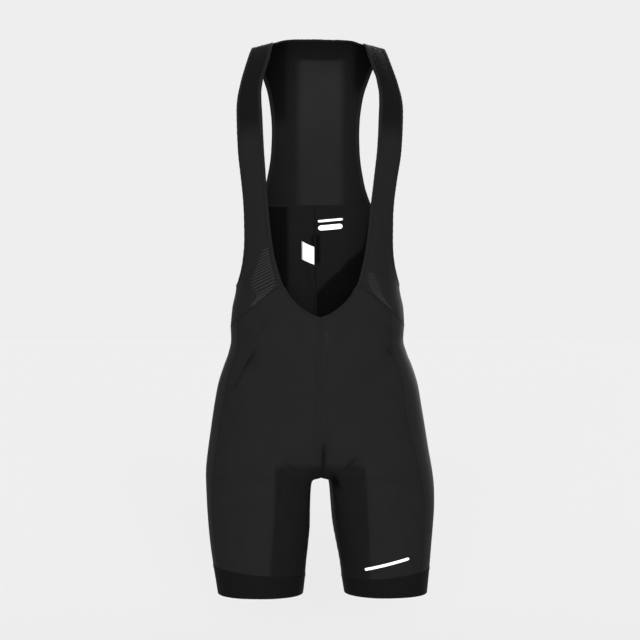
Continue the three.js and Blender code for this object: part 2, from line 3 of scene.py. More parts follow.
import bmesh
import bpy
import numpy as np
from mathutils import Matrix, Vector


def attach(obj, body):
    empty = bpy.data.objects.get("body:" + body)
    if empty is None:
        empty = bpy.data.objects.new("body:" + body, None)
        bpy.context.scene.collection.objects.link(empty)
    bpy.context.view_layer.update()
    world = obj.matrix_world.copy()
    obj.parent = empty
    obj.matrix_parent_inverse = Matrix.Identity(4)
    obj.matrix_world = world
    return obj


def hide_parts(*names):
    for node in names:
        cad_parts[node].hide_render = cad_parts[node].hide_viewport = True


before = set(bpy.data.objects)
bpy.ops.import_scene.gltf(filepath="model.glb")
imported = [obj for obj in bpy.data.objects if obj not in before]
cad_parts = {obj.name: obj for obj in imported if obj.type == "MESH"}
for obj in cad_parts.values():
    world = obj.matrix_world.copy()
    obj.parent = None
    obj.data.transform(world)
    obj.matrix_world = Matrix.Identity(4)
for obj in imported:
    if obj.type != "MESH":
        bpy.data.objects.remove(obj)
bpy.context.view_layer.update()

# Cycling bib shorts in their worn form, with nobody inside. Tables and sizes are in millimetres,
# in the frame of the solids: the front faces -Y and the wearer's left is at +X. Every piece of
# cloth lies on one form, at spots given by side (1 left, -1 right), angle (degrees round from the
# side line, -90 and 90 the centre line in front and behind, 180 the inseam) and level (row of FORM).
MM = 0.001

# Small steps over the form, in degrees and in rows, along which its slope is measured
ANGLE_STEP = 0.4
LEVEL_STEP = 0.02

# Colours of the cloth and the label
KNIT_COLOUR = (0.0093, 0.0093, 0.0097)
# The side panels' colour, a little lighter than the knit, is partly their own cloth and partly a
# painted sheen for the bright strip along the sides
SIDE_COLOUR = (0.0106, 0.0106, 0.0111)
MESH_COLOUR = (0.0088, 0.0088, 0.0092)
BINDING_COLOUR = (0.0088, 0.0088, 0.0092)
RIB_COLOUR = (0.018, 0.018, 0.0189)
BAND_COLOUR = (0.0043, 0.0043, 0.0046)
LABEL_WHITE = (0.93, 0.93, 0.92)
LABEL_GREY = (0.4, 0.4, 0.42)

# Painted shade of the zones, and widths of the painted shade on the inner legs at the hem, half way and
# the crotch
INNER_LEG_PAINTED_SHADE = 0.6
INNER_LEG = {1: (40, 53, 55), -1: (54, 59, 60)}
INSIDE_PAINTED_SHADE = 0.67
# Painted shadow inside the back: height, and the x beyond which it falls
INSIDE_SHADE = [
    (-460, -8), (-409, -4), (-402, 3), (-385, 18), (-368, 38), (-352, 51), (-344, 63), (-331, 77),
    (-300, 85), (-262, 92),
]
SHOULDER_PAINTED_SHADE = 0.46
BACK_PAINTED_SHADE = 0.6
CREASE_SHADE = 0.42

# Floor and light
BACKGROUND = 0.855
FLOOR_Z = -1120
FLOOR_SIZE = 120000
FLOOR_COLOUR = 0.708
# Soft lights: direction in which each shines, strength, and how far it spreads in degrees
LIGHTS = {
    "key": ((0.03, 0.99, -0.03), 6.6, 24),
    "back": ((-0.3, -0.95, -0.12), 4, 60),
}

# Camera: it stands a little to the image's left of the garment's front
CAMERA_DISTANCE = 3050
CAMERA_HEIGHT = -453.4
CAMERA_AZIMUTH = 2.5
FRAME_WIDTH = 1066.9 # what the image's width covers at the garment

# Cloth
KNIT = 1.8
MESH_KNIT = 1.6
BAND = 2.4
LABEL = 0.7
SEAM_GAP = 0.3
SLANT_GAP = 0.22 # half the gap at a slanting seam, measured straight up
EDGE_ROUND = 1.1 # width over which the cloth rounds off at its edges
GRID_STEPS = {"front": 2.4, "side": 3, "seat": 3.3, "bib_front": 3, "leg_band": 3} # fine cloth grids

# Section of the form at each height
FORM_COLUMNS = ("z", "outer", "inner", "pressed", "middle", "reach", "square", "sway")
FORM = [
    (-908, 173.4, 38, 0, 6, 75, 0.01, 4.3),
    (-880, 176.8, 34.2, 3, 5, 80, 0.01, 3.6),
    (-850, 180.6, 30.6, 8, 4, 85, 0.01, 2.8),
    (-820, 184, 25.7, 13, 4, 89, 0.01, 2),
    (-790, 186.8, 21.3, 19, 4, 93, 0.01, 1.4),
    (-760, 188.6, 19.2, 28.6, 4, 97, 0.01, 0.9),
    (-733, 189, 17.8, 40.4, 4, 100, 0.01, 0.3),
    (-719, 188.75, 15.8, 47, 4.2, 101.6, 0.01, -0.3),
    (-713, 188.5, 11, 46.7, 4.4, 102.3, 0.01, -0.6),
    (-710.5, 188.4, 0, 37.8, 4.5, 102.6, 0.01, -0.8),
    (-707, 188.1, -12, 29, 4.7, 103, 0.01, -0.9),
    (-698, 187.3, -34, 16.7, 5.1, 104.2, 0.013, -1.3),
    (-685, 185.7, -66, 3.3, 5.9, 106.2, 0.016, -1.8),
    (-664, 182.6, -104, 0, 7.3, 110, 0.02, -2.3),
    (-634, 178.1, -145, 0, 8.6, 113.5, 0.025, -2.8),
    (-595, 171.8, -171.8, 0, 9, 116, 0.03, -3.3),
    (-560, 165.2, -165.2, 0, 6, 115, 0.035, -3.2),
    (-530, 156.1, -156.1, 0, 2, 112, 0.035, -3.3),
    (-507, 147.7, -147.7, 0, -2, 108.5, 0.035, -4),
    (-485, 142.8, -142.8, 0, -4, 105, 0.035, -4.8),
    (-463, 143.3, -143.3, 0, -6, 102, 0.035, -4.5),
    (-435, 141, -141, 0, -8, 98, 0.035, -4.1),
    (-395, 134.2, -134.2, 0, -9, 94, 0.035, -4.2),
    (-345, 136, -136, 0, -8, 96, 0.035, -5.2),
    (-290, 142, -142, 0, -5, 102, 0.035, -5.2),
    (-230, 150, -150, 0, -2, 108, 0.035, -4.4),
    (-170, 157, -157, 0, 0, 112, 0.035, -3.4),
    (-110, 157, -157, 0, 3, 107, 0.035, -3),
    (-66, 148, -148, 0, 7, 92, 0.035, -3.1),
    (-34, 137, -137, 0, 10, 73, 0.03, -3.2),
    (-14, 128, -128, 0, 12, 50, 0.02, -3),
    (-3.5, 122, -122, 0, 13.5, 26, 0.01, -2.6),
    (0, 120, -120, 0, 14, 0, 0.01, -2.4),
]
CROTCH = [row[2] for row in FORM].index(0)
CROTCH_Z = FORM[CROTCH][0]
RIDGE = len(FORM) - 1
HEM_Z = FORM[0][0]
PRESS_SOFTNESS = 0.7
MOST_SOFTNESS = 16

# Height and how much further the right leg reaches in
RIGHT_LEG_IN = [(-908, 4.4), (-850, 3.6), (-800, 2), (-750, 0.4), (-712, 0)]
# Distance from the centre line and rise of the shoulders, then height and share of that rise
SHOULDER_RISE = [(0, 28), (30, 26), (58, 18.5), (76, 9), (92, 5.2), (110, 0), (160, -11)]
RISE_SHARE = [(-170, 0), (-110, 0.24), (-66, 0.56), (-34, 0.8), (-14, 0.93), (-3.5, 0.99), (0, 1)]

# Edges: height and distance from the centre line
NECKLINE = [
    (-449.4, 0), (-445.5, 12), (-437, 26), (-421, 44), (-400, 59), (-373, 68), (-341, 75),
    (-309, 79.4), (-270, 83.2), (-231, 87.3), (-193, 90.7), (-154, 93.6), (-115, 95.4), (-93, 96),
    (-72, 94.7), (-60, 92), (-45, 86.6), (-28, 81.5), (-6, 77), (0, 76),
]
NECK_CORNER = NECKLINE[4]
ARM_BOTTOM = (-352, -29) # height and angle where the strap's outer edge begins
STRAP_OUTER = [
    (-325, 120.5), (-295, 120.7), (-256, 122.7), (-217, 127.7), (-177, 132.6), (-137, 134.6),
    (-97, 134.5), (-75.5, 131.5), (-54.5, 126.8), (-34, 121), (-21, 117), (-5, 112), (0, 110.5),
]
BACK_OUTER = [
    (-257.5, 95.9), (-247, 92), (-226, 85.2), (-205, 81), (-184, 77.6), (-163, 75.6),
    (-134, 74.6), (-114, 75.2), (-84, 78.9), (-64, 83.5), (-54, 87), (-34, 94), (-18, 101),
    (-5, 108), (0, 110.5),
]
BACK_NECK = [(-6.5, 0), (-5.8, 25), (-3.6, 50), (-1.6, 66), (0, 76)]

# Seams: angle and height of the one that joins the bib, and the lines of the others
BIB_SEAM = [(-63, -400), (-50, -423), (-36, -443), (-18, -458), (0, -464), (14, -466)]
SIDE_SEAM = 14
BACK_SEAM_Z = -257.5
BAND_RISE = 14
HALVES = {
    "left": {"side": 1, "side_front": -40, "band_top": -881},
    "right": {"side": -1, "side_front": -27, "band_top": -876},
}
SPREAD_TOP = -699
SPREAD_END = -860

# Heights of the rows of cloth points, and the rows that end at two heights
PANEL_ROWS = (-845, -820, -795, -770, -748, -732, -720, -714.5, -711.8, CROTCH_Z, -709,
              -705.5, -699, -690, -680, -668, -650, -628, -604, -580, -556, -532, -508)
TOP_FRACTIONS = (0.28, 0.54, 0.78, 1)
STRAP_ROWS = (-325, -300, -275, -250, -225, -200, -175, -150, -125, -100, -80, -62, -46,
              -31, -18, -8, -2.5, 0)
# Height and angle at the armhole, and height at the neckline
BIB_FRONT_ROWS = [
    (-466, 14, -400), (-443, 14, -394), (-419, 14, -388), (-398, 14, -382), (-397.5, 6, -379),
    (-396, -3, -376), (-391, -12.5, -371), (-380, -19.5, -364), (-366, -25.5, -356),
    (-352, -29, -347),
]
SEAM_FADE_ROWS = 6
# Height and angle at the armhole, and height at the centre back
SEAT_TOP_ROWS = [
    (-487, 14, -480), (-466, 14, -452), (-443, 14, -424), (-419, 14, -398), (-398, 14, -374),
    (-394, 22, -360), (-384, 29, -346), (-366, 35, -331), (-340, 39.5, -313),
    (-312, 43.5, -294), (-285, 47, -276),
]
STRIPS = {"front_neck": 6, "front_seam": 6, "side": 3, "seat": 12}

# Care label inside the centre back
LABEL_WIDTH = 22
LABEL_HEIGHT = 31
LABEL_TOP_Z = -328
LABEL_TILT = 8
LABEL_LIFT = 7

# Folds: face (-1 front, 1 back), from x, z, to x, z, width, depth. Ridges have a negative depth.
FOLDS = [
    (-1, -98, -492, -140, -552, 13, 4),
    (-1, 98, -496, 120, -528, 12, 2.5),
    (-1, 26, -708, 78, -668, 12, 3.5),
    (-1, -24, -706, -66, -676, 12, 2.5),
    (1, 22, -704, 92, -682, 15, 4),
    (1, -22, -704, -86, -686, 15, 3.5),
    (1, -92, -478, -22, -494, 14, 3),
    (1, 100, -488, 40, -504, 14, 2.5),
]

# Creases too fine for the solids, in the same columns
CREASES = [
    (-1, -99, -490, -139, -553, 2.6, 1.2),
    (-1, -126, -538, -146, -568, 2.4, 0.6),
    (-1, 102, -494, 114, -517, 2.4, 0.9),
    (-1, 1.5, -636, 1.5, -712, 3.2, 1.5),
    (-1, 30, -700, 62, -672, 3, 1.1),
    (-1, 40, -702, 66, -682, 2.6, 0.7),
    (-1, 14, -698, 29, -732, 4.6, 2.6),
    (-1, -34, -698, -74, -677, 3, 0.6),
    (-1, -58, -684, -76, -714, 3, 0.5),
    (-1, -74, -712, -70, -750, 3, 0.5),
    (-1, -82, -440, -114, -494, 2.6, 0.35),
    (-1, 92, -450, 120, -486, 2.6, 0.3),
    (-1, 4.5, -466, 8.5, -497, 1.8, -0.9),
    (1, -40, -500, -126, -540, 4.5, 0.9),
    (1, -84, -512, -138, -524, 3.6, 0.6),
    (1, 44, -508, 124, -524, 4.5, 0.8),
    (1, 20, -700, 108, -656, 5, 1.1),
    (1, -22, -700, -112, -664, 4.6, 1),
    (1, -40, -678, -84, -646, 3.6, 0.6),
    (1, 0, -610, 1, -712, 4.5, 1.4),
    (1, 42, -724, 132, -698, 5, 0.8),
    (1, -48, -722, -138, -708, 5, 0.7),
    (1, -64, -466, 52, -480, 4.6, 0.6),
    (1, -112, -540, -156, -622, 5, 0.7),
    (1, 116, -536, 158, -606, 5, 0.6),
    (1, 44, -790, 132, -816, 5.5, 0.6),
    (1, -52, -812, -132, -792, 5.5, 0.5),
]

# Ribs of the lower bib front: side, tilt in degrees, then height and ends in x along the rows
RIB_PITCH = 4.9
RIB_WIDTH = 2.1
RIB_LIFT = 0.11
RIB_CROWN = 0.4
RIB_FIELDS = [
    (-1, 27, [(-340, -97, -87), (-360, -105, -84), (-376, -113, -82), (-390, -115, -78),
              (-405, -106, -76), (-413, -107, -84), (-418, -110, -91), (-424, -114, -99),
              (-431, -118, -109)]),
    (1, -27, [(-379, 75, 86), (-390, 73, 92), (-405, 76, 97), (-412, 82, 100), (-420, 90, 105),
              (-428, 99, 110), (-435, 108, 116)]),
]

# Swell of the stretched cloth, and the gathers beside its seams
SWELL = 0.9
SWELL_LENGTHS = (150, 118, 92, 71, 55)
PUCKER = 0.16
PUCKER_LENGTH = 10
PUCKER_REACH = 5

# Flat seams, bindings of the open edges, and threads
SEAM_WIDTH = 4.6
SEAM_PROUD = 0.3
SEAM_TONES = {"bib": 0.82, "inseam": 0.6, "side": 0.95, "centre": 0.5, "back": 0.7,
              "shoulder": 0.8, "band": 1}
BINDING_WIDTH = 6
BINDING_PROUD = 0.5
BINDING_ROUND = 0.9
THREAD = 0.2
STITCH = 2.2
STITCH_GAP = 0.7
MARK = 0.12

# Plain marks: centre in x and z, width and height, and tilt in degrees
LEG_BAR = ((106, -851), (74, 4.5), 14)
BACK_MARKS = [((22, -282), (43, 4), 5), ((22, -294), (42, 9), 5)]


def track(values, beyond=None):
    """Smooth curve through values by index that never swings past them."""
    values = np.asarray(values, float)
    known = values if beyond is None else np.append(values, beyond)
    steps = np.diff(known, axis=0)
    before, after = steps[:-1], steps[1:]
    total = np.where(before + after == 0, 1, before + after)
    inside = np.where(before * after > 0, 2 * before * after / total, 0)
    slope = np.concatenate([steps[:1], inside, steps[-1:]])
    last = len(values) - 1

    def curve(position):
        at = np.clip(position, 0, last)
        i = np.minimum(np.floor(at).astype(int), last - 1)
        u = at - i
        if values.ndim > 1:
            u = u[:, None]
        rise = values[i + 1] - values[i]
        bend = 3 * rise - 2 * slope[i] - slope[i + 1]
        return values[i] + u * slope[i] + u ** 2 * bend + u ** 3 * (slope[i] + slope[i + 1] - 2 * rise)

    return curve


def look_up(keys, values):
    """Value as a smooth function of a key, through a short table."""
    places = np.linspace(0, len(keys) - 1, 4001)
    known = track(keys)(places)
    order = np.argsort(known)
    curve = track(values)
    return lambda at: curve(np.interp(at, known[order], places[order]))


def columns(table):
    return [np.array(column, float) for column in zip(*table)]


form_columns = dict(zip(FORM_COLUMNS, columns(FORM)))
form = {name: track(values, values[-2]) for name, values in form_columns.items()}
form["reach"] = track(form_columns["reach"], -form_columns["reach"][-2])
level_places = np.linspace(0, RIDGE, 20001)
level_heights = form["z"](level_places)
right_leg_in = look_up(*columns(RIGHT_LEG_IN))
shoulder_rise = look_up(*columns(SHOULDER_RISE))
rise_share = look_up(*columns(RISE_SHARE))


def level_of(z):
    return np.interp(z, level_heights, level_places)


def across(angle, square):
    return (np.cos(np.radians(angle)) - square * np.cos(np.radians(3 * angle))) / (1 - square)


def along(angle, square):
    return (np.sin(np.radians(angle)) + square * np.sin(np.radians(3 * angle))) / (1 - square)


def half_at(angle, level):
    """Distance from the centre line, softly ended at the inner outline of a pressed leg."""
    outer, inner, pressed = form["outer"](level), form["inner"](level), form["pressed"](level)
    width = outer - inner
    round_half = (width + pressed) / 2
    free = outer - round_half + round_half * across(angle, form["square"](level)) - inner
    softness = np.minimum(PRESS_SOFTNESS * pressed, MOST_SOFTNESS)

    def soft(distance):
        return (distance + np.hypot(distance, softness)) / 2

    least = soft(-pressed)
    return inner + width * (soft(free) - least) / (soft(width) - least)


def angle_at(half, level):
    half, level = np.broadcast_arrays(np.asarray(half, float), np.asarray(level, float))
    low, high = np.zeros(half.shape), np.full(half.shape, 180.0)
    for _ in range(36):
        middle = (low + high) / 2
        further = half_at(middle, level) > half
        low = np.where(further, middle, low)
        high = np.where(further, high, middle)
    return (low + high) / 2


def closing_angle(level):
    """Angle of the line where a half ends: the body's centre line, or a leg's inseam."""
    return np.where(level < CROTCH + LEVEL_STEP / 2, 180, angle_at(0, level))


def spread_angle(level):
    """Angle about which a panel's columns spread, eased where the legs part."""
    z = form["z"](level)
    share = np.clip((SPREAD_TOP - z) / (SPREAD_TOP - SPREAD_END), 0, 1)
    eased = mix(closing_angle(level_of(SPREAD_TOP)), 180, share)
    return np.where(z > SPREAD_TOP, closing_angle(level), eased)


def point_on_form(side, angle, level):
    half = np.maximum(half_at(angle, level), SEAM_GAP / 2)
    height = form["z"](level)
    turned = np.where(side < 0, right_leg_in(height) * (1 - np.cos(np.radians(angle))) / 2, 0)
    x = form["sway"](level) + side * (half - turned)
    y = form["middle"](level) + form["reach"](level) * along(angle, form["square"](level))
    return np.stack([x, y, height + rise_share(height) * shoulder_rise(half)], axis=-1)


def mix(start, end, share):
    return start + (end - start) * share


def towards_back(side, angle, level):
    ahead = point_on_form(side, angle + ANGLE_STEP, level)
    return (ahead - point_on_form(side, angle - ANGLE_STEP, level)) / (2 * ANGLE_STEP)


def upwards(side, angle, level):
    above = np.minimum(level + LEVEL_STEP, RIDGE)
    below = np.maximum(level - LEVEL_STEP, 0)
    rise = point_on_form(side, angle, above) - point_on_form(side, angle, below)
    return rise / (above - below)[..., None]


def unit(vectors):
    return vectors / np.maximum(np.linalg.norm(vectors, axis=-1, keepdims=True), 1e-9)


def outwards(side, angle, level):
    """Straight out from the cloth, and on the centre line not towards the other half."""
    side = np.broadcast_to(side, angle.shape)
    out = np.cross(towards_back(side, angle, level), upwards(side, angle, level)) * side[..., None]
    on_centre = (level > CROTCH - LEVEL_STEP) & (half_at(angle, level) < 2 * SEAM_GAP)
    out[..., 0] = np.where(on_centre, 0, out[..., 0])
    return unit(out)


def moved_back(side, angle, level, mm):
    return angle + mm / np.linalg.norm(towards_back(side, angle, level), axis=-1)


def moved_up(side, angle, level, mm):
    return level + mm / np.linalg.norm(upwards(side, angle, level), axis=-1)


# Edges of the cloth as functions
def edge_angles(table, first=None):
    heights, halves = columns(table)
    angles = -angle_at(halves, level_of(heights))
    if first:
        heights, angles = np.append(first[0], heights), np.append(first[1], angles)
    return look_up(heights, angles)


neck_angle = edge_angles(NECKLINE)
strap_angle = edge_angles(STRAP_OUTER, ARM_BOTTOM)
neck_z = look_up(*columns(NECKLINE[:5])[::-1])
bib_seam_z = look_up(*columns(BIB_SEAM))
back_half = look_up(*columns(BACK_OUTER))
back_neck_z = look_up(*columns(BACK_NECK)[::-1])
corner_angle = float(neck_angle(NECK_CORNER[0]))


def band_top_z(half, angle):
    return half["band_top"] + BAND_RISE * ((1 + np.cos(np.radians(angle))) / 2) ** 1.5


def refine(side, angle, level, step, ring=False):
    """A fine grid of spots through coarse rows of them, with extra rows close to the edges."""
    for axis in (0, 1):
        points = point_on_form(side, angle, level)
        if axis:
            points, angle, level = np.swapaxes(points, 0, 1), angle.T, level.T
        lengths = np.linalg.norm(np.diff(points, axis=0), axis=-1).max(axis=1)
        counts = np.maximum(np.ceil(lengths / step).astype(int), 1)
        places = np.concatenate([i + np.arange(n) / n for i, n in enumerate(counts)])
        places = np.append(places, len(counts))
        if not (ring and axis):
            edge = EDGE_ROUND / np.array([lengths[0], lengths[-1]])
            loops = np.array([0.25, 0.6, 1])
            places = np.concatenate([places, loops * edge[0], len(counts) - loops * edge[1]])
            places = np.unique(np.round(places, 5))
        angle, level = track(angle)(places), track(level)(places)
        if axis:
            angle, level = angle.T, level.T
    return angle, level


def fold_depth(point, middle, folds):
    """Depth of some folds at points, deepest halfway along each fold."""
    depth = np.zeros(point.shape[:-1])
    face = np.sign(point[..., 1] - middle)
    for side, x0, z0, x1, z1, width, deepest in folds:
        run = np.array([x1 - x0, z1 - z0], float)
        offset = point[..., [0, 2]] - np.array([x0, z0])
        share = np.clip(offset @ run / (run @ run), 0, 1)
        aside = (offset[..., 0] * run[1] - offset[..., 1] * run[0]) / np.linalg.norm(run)
        shape = np.sin(np.pi * share) ** 2 * np.exp(-(aside / width) ** 2)
        depth += np.where(face == side, deepest * shape, 0)
    return depth


def unevenness(point):
    """Slight swell of stretched cloth, from waves of several lengths and directions."""
    rng = np.random.default_rng(11)
    swell = np.zeros(point.shape[:-1])
    for length in SWELL_LENGTHS:
        direction = unit(rng.normal(size=3))
        phase = rng.uniform(0, 2 * np.pi)
        swell += np.sin(point @ direction * 2 * np.pi / length + phase)
    return SWELL * swell / len(SWELL_LENGTHS)


def pucker(point, to_edge):
    """Small gathers beside a seam or a bound edge, fading into the cloth."""
    run = point.sum(axis=-1)
    wave = np.sin(2 * np.pi * run / PUCKER_LENGTH + 2.2 * np.sin(run / 23))
    return PUCKER * wave * np.exp(-to_edge / PUCKER_REACH)


def lifted(side, angle, level, height):
    """Points at a height over the middle of the cloth, folds and swell included."""
    point = point_on_form(side, angle, level)
    folds = fold_depth(point, form["middle"](level), FOLDS + CREASES)
    lift = height - folds + unevenness(point)
    return point + outwards(side, angle, level) * lift[..., None]


class Cloth:
    """A fine grid of cloth on the form: its middle surface, what is out, and sizes in mm."""

    def __init__(self, side, angle, level, thickness, ring=False, lift=0, closed_above=math.inf):
        self.side, self.angle, self.level = side, angle, level
        self.thickness, self.ring = thickness, ring
        self.closed = form["z"](level[:, :1]) >= closed_above
        self.out = outwards(side, angle, level)
        self.point = lifted(side, angle, level, lift)
        self.measure()
        self.point = self.point + self.out * pucker(self.point, self.to_edge)[..., None]
        self.measure()

    def measure(self):
        """Distances in mm along the rows and columns, and to the nearest edge."""
        self.wide = self.lengths(1)
        self.high = self.lengths(0)
        to_edge = [self.high, self.high[-1:] - self.high]
        if not self.ring:
            first = np.where(self.closed, math.inf, self.wide)
            to_edge += [first, self.wide[:, -1:] - self.wide]
        self.to_edge = np.minimum.reduce(to_edge)

    def lengths(self, axis):
        steps = np.linalg.norm(np.diff(self.point, axis=axis), axis=-1)
        start = np.zeros_like(np.take(steps, [0], axis=axis))
        return np.concatenate([start, np.cumsum(steps, axis=axis)], axis=axis)

    def face(self, share):
        """Points of the outer (share 1) or inner (share -1) face, rounded off at the edges."""
        near = 1 - np.clip(self.to_edge / EDGE_ROUND, 0, 1)
        half = self.thickness / 2 * np.sqrt(np.maximum(1 - near ** 2, 0.06))
        return self.point + self.out * (share * half)[..., None]


class Edge:
    """A stretch of a cloth's edge, from which points are taken some distance into the cloth."""

    def __init__(self, cloth, which, keep=None, backwards=False):
        point, out, angle, level = cloth.point, cloth.out, cloth.angle, cloth.level
        if which in ("bottom", "top"):
            point, out = np.swapaxes(point, 0, 1), np.swapaxes(out, 0, 1)
            angle, level = angle.T, level.T
        if which in ("last", "top"):
            point, out, angle, level = (part[:, ::-1] for part in (point, out, angle, level))
        if keep:
            kept = keep(angle[:, 0], form["z"](level[:, 0]))
            point, out = point[kept], out[kept]
        if backwards:
            point, out = point[::-1], out[::-1]
        self.point, self.out = point, out
        steps = np.linalg.norm(np.diff(point, axis=1), axis=-1)
        self.reach = np.concatenate([np.zeros((len(point), 1)), np.cumsum(steps, axis=1)], axis=1)

    def at(self, distance):
        """Points of the cloth's middle and its outward directions at a distance from the edge."""
        if distance < 0:
            (near, out), (far, far_out) = self.at(0), self.at(-distance)
            return 3 * near - 3 * far + self.at(-2 * distance)[0], unit(2 * out - far_out)
        rows = np.arange(len(self.point))
        column = (self.reach < distance).sum(axis=1) - 1
        column = np.clip(column, 0, self.reach.shape[1] - 2)
        start, end = self.reach[rows, column], self.reach[rows, column + 1]
        share = ((distance - start) / (end - start))[:, None]
        point = mix(self.point[rows, column], self.point[rows, column + 1], share)
        return point, unit(mix(self.out[rows, column], self.out[rows, column + 1], share))


class Underside:
    """The centre line under the crotch, from which points are taken straight sideways."""

    def __init__(self, cloth, column):
        z = form["z"](cloth.level[:, column])
        kept = (z >= CROTCH_Z) & (z <= CROTCH_Z + 16)
        self.point = cloth.point[kept, column] - [SEAM_GAP / 2, 0, 0]
        self.out = unit(cloth.out[kept, column] * [0, 1, 1])

    def at(self, distance):
        return self.point + [distance, 0, 0], self.out


def along_edges(edges, distance):
    """Points and outward directions along several edges, one after the other."""
    parts = [edge.at(distance) for edge in edges]
    return np.concatenate([p for p, _ in parts]), np.concatenate([o for _, o in parts])


def travelled(points):
    steps = np.linalg.norm(np.diff(points, axis=0), axis=-1)
    return np.concatenate([[0], np.cumsum(steps)])


def mesh_object(name, points, faces, uv=None, tone=1):
    """A smooth mesh object from points in mm, with a UV in metres and a tone for each point."""
    mesh = bpy.data.meshes.new(name)
    faces = faces.tolist() if isinstance(faces, np.ndarray) else faces
    mesh.from_pydata((np.asarray(points) * MM).tolist(), [], faces)
    mesh.polygons.foreach_set("use_smooth", [True] * len(mesh.polygons))
    if uv is not None:
        loops = np.zeros(len(mesh.loops), int)
        mesh.loops.foreach_get("vertex_index", loops)
        layer = mesh.uv_layers.new(name="cloth")
        layer.data.foreach_set("uv", (np.asarray(uv)[loops] * MM).ravel())
    tones = mesh.attributes.new("tone", "FLOAT", "POINT")
    tones.data.foreach_set("value", np.broadcast_to(np.ravel(tone), (len(mesh.vertices),)))
    obj = bpy.data.objects.new(name, mesh)
    bpy.context.scene.collection.objects.link(obj)
    return obj


def shell(name, cloth, tone=1):
    """A closed thin shell of cloth with both faces and its rims."""
    high, wide = cloth.angle.shape
    inside = high * wide
    index = np.arange(inside).reshape(high, wide)
    if cloth.ring:
        index = np.concatenate([index, index[:, :1]], axis=1)
    a, b, c, d = index[:-1, :-1], index[:-1, 1:], index[1:, 1:], index[1:, :-1]
    outer = np.stack([a, b, c, d], axis=-1).reshape(-1, 4)
    inner = np.stack([d, c, b, a], axis=-1).reshape(-1, 4) + inside
    edges = [index[0, ::-1], index[-1]]
    if not cloth.ring:
        edges += [index[:, 0], index[::-1, -1]]
    rims = [np.stack([e[:-1], e[1:], e[1:] + inside, e[:-1] + inside], axis=-1) for e in edges]
    faces = np.concatenate([outer, inner, *rims])
    points = np.concatenate([cloth.face(1).reshape(-1, 3), cloth.face(-1).reshape(-1, 3)])
    if np.mean(np.broadcast_to(cloth.side, cloth.angle.shape)) < 0:
        faces = faces[:, ::-1]
    uv = np.stack([cloth.wide, cloth.high], axis=-1).reshape(-1, 2)
    return mesh_object(name, points, faces, np.concatenate([uv, uv]), tone)


def strip(name, edges, profile, ring=False, tone=1):
    """A closed band along edges. Its profile is a loop of distances into the cloth and heights."""
    rows = []
    for distance, height in profile:
        point, out = along_edges(edges, distance)
        rows.append(point + out * height)
    points = np.stack(rows, axis=1)
    count, wide = points.shape[:2]
    index = np.arange(count * wide).reshape(count, wide)
    index = np.concatenate([index, index[:, :1]], axis=1)
    if ring:
        index = np.concatenate([index, index[:1]], axis=0)
    faces = np.stack([index[:-1, :-1], index[:-1, 1:], index[1:, 1:], index[1:, :-1]], axis=-1)
    faces = faces.reshape(-1, 4).tolist()
    if not ring:
        faces += [index[0, -2::-1].tolist(), index[-1, :-1].tolist()]
    u = travelled(np.array(profile, float))
    v = travelled(points[:, 0])
    uv = np.stack(np.broadcast_arrays(u[None, :], v[:, None]), axis=-1).reshape(-1, 2)
    return facing_out(mesh_object(name, points.reshape(-1, 3), faces, uv, tone))


def facing_out(obj):
    mesh = bmesh.new()
    mesh.from_mesh(obj.data)
    bmesh.ops.recalc_face_normals(mesh, faces=mesh.faces)
    mesh.to_mesh(obj.data)
    mesh.free()
    return obj


def stitch_rows(edges, distance, height, ring=False):
    """Short threads laid end to end along edges: for each, its ends and its outward direction."""
    point, out = along_edges(edges, distance)
    point = point + out * height
    if ring:
        point, out = np.vstack([point, point[:1]]), np.vstack([out, out[:1]])
    run = travelled(point)
    starts = np.arange(STITCH_GAP, run[-1] - STITCH, STITCH + STITCH_GAP)

    def at(places, values):
        return np.stack([np.interp(places, run, values[:, i]) for i in range(3)], axis=-1)

    return at(starts, point), at(starts + STITCH, point), unit(at(starts, out))


def stitches(name, rows):
    """One mesh of many threads, each a small four-sided spindle."""
    start, end, out = (np.concatenate(parts) for parts in zip(*rows))
    aside = unit(np.cross(end - start, out))
    points = []
    for share, radius, lift in ((0, 0.5, -0.12), (0.5, 1, 0), (1, 0.5, -0.12)):
        centre = mix(start, end, share) + out * lift
        for turn in range(4):
            angle = math.radians(45 + 90 * turn)
            spoke = out * math.cos(angle) + aside * math.sin(angle)
            points.append(centre + spoke * THREAD * radius)
    points = np.stack(points, axis=1)
    ring = [[4 * r + t, 4 * r + (t + 1) % 4, 4 * r + 4 + (t + 1) % 4, 4 * r + 4 + t]
            for r in range(2) for t in range(4)]
    one = np.array([*ring, [3, 2, 1, 0], [8, 9, 10, 11]])
    faces = (np.arange(len(start))[:, None, None] * 12 + one[None]).reshape(-1, 4)
    uv = np.zeros((points.shape[0] * 12, 2))
    return facing_out(mesh_object(name, points.reshape(-1, 3), faces, uv))


